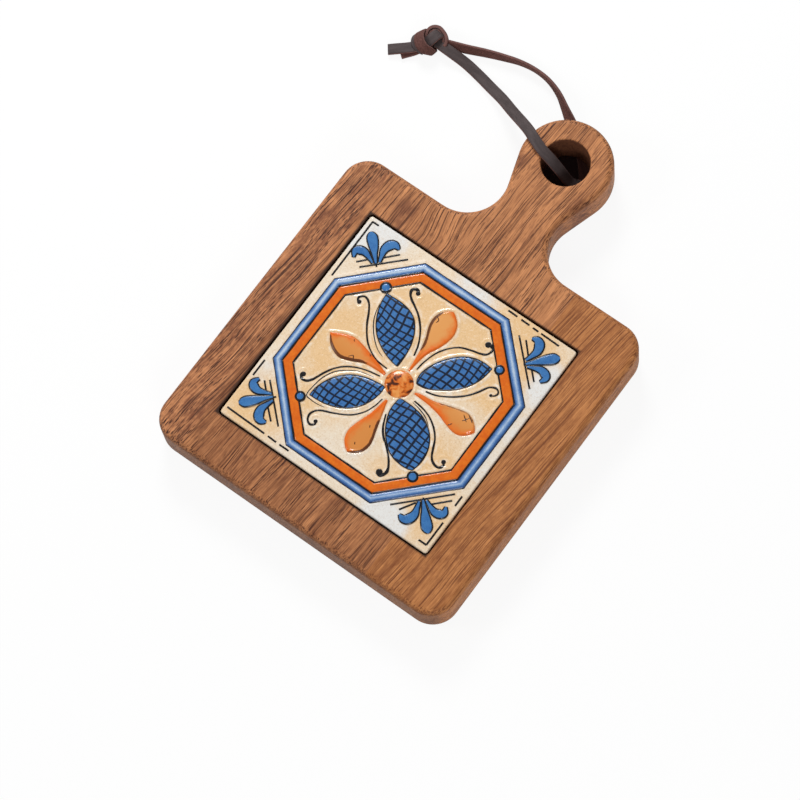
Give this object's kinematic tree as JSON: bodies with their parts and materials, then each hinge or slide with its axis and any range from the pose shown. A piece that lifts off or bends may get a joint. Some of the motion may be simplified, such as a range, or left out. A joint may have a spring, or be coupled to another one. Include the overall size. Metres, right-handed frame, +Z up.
{
  "type": "table mat",
  "caption": "Square wooden table mat with a handle at one side, a square glazed relief tile let into its top, felt pads below and a flat leather hanging lace looped through the handle's hole.",
  "frame": {"origin": "on the table, below the middle of the board's box, with the felt pads' undersides at zero height", "axes": "+Y runs from the square body to the handle, +Z up out of the tile, +X to the right of both"},
  "size_m": [0.178, 0.2318, 0.0229],
  "materials": {
    "dark_wood": "satin, oiled",
    "wood": "satin, oiled",
    "golden_wood": "satin, oiled",
    "glaze": "glossy glaze over a relief",
    "adhesive": "matt",
    "felt": "felt",
    "lace_grey": "smooth grain side",
    "lace_brown": "flesh side with a short nap"
  },
  "bodies": {
    "board": {"left_stave": "dark_wood", "centre_stave": "wood", "right_stave": "golden_wood", "tile": "glaze", "tile_bed": "adhesive", "pad_front_left": "felt", "pad_front_right": "felt", "pad_back_left": "felt", "pad_back_right": "felt"},
    "lace": {"lace_front_strand": "lace_grey", "lace_back_strand": "lace_brown", "lace_knot": "lace_brown", "lace_front_tail": "lace_grey", "lace_back_tail": "lace_brown"}
  },
  "joints": [
    {"name": "lace_swing", "type": "hinge", "parent": "board", "child": "lace", "pos_m": [0, 0.0881, 0.0115], "axis": [0, 0, 1], "range_deg": [-150, 30]}
  ]
}
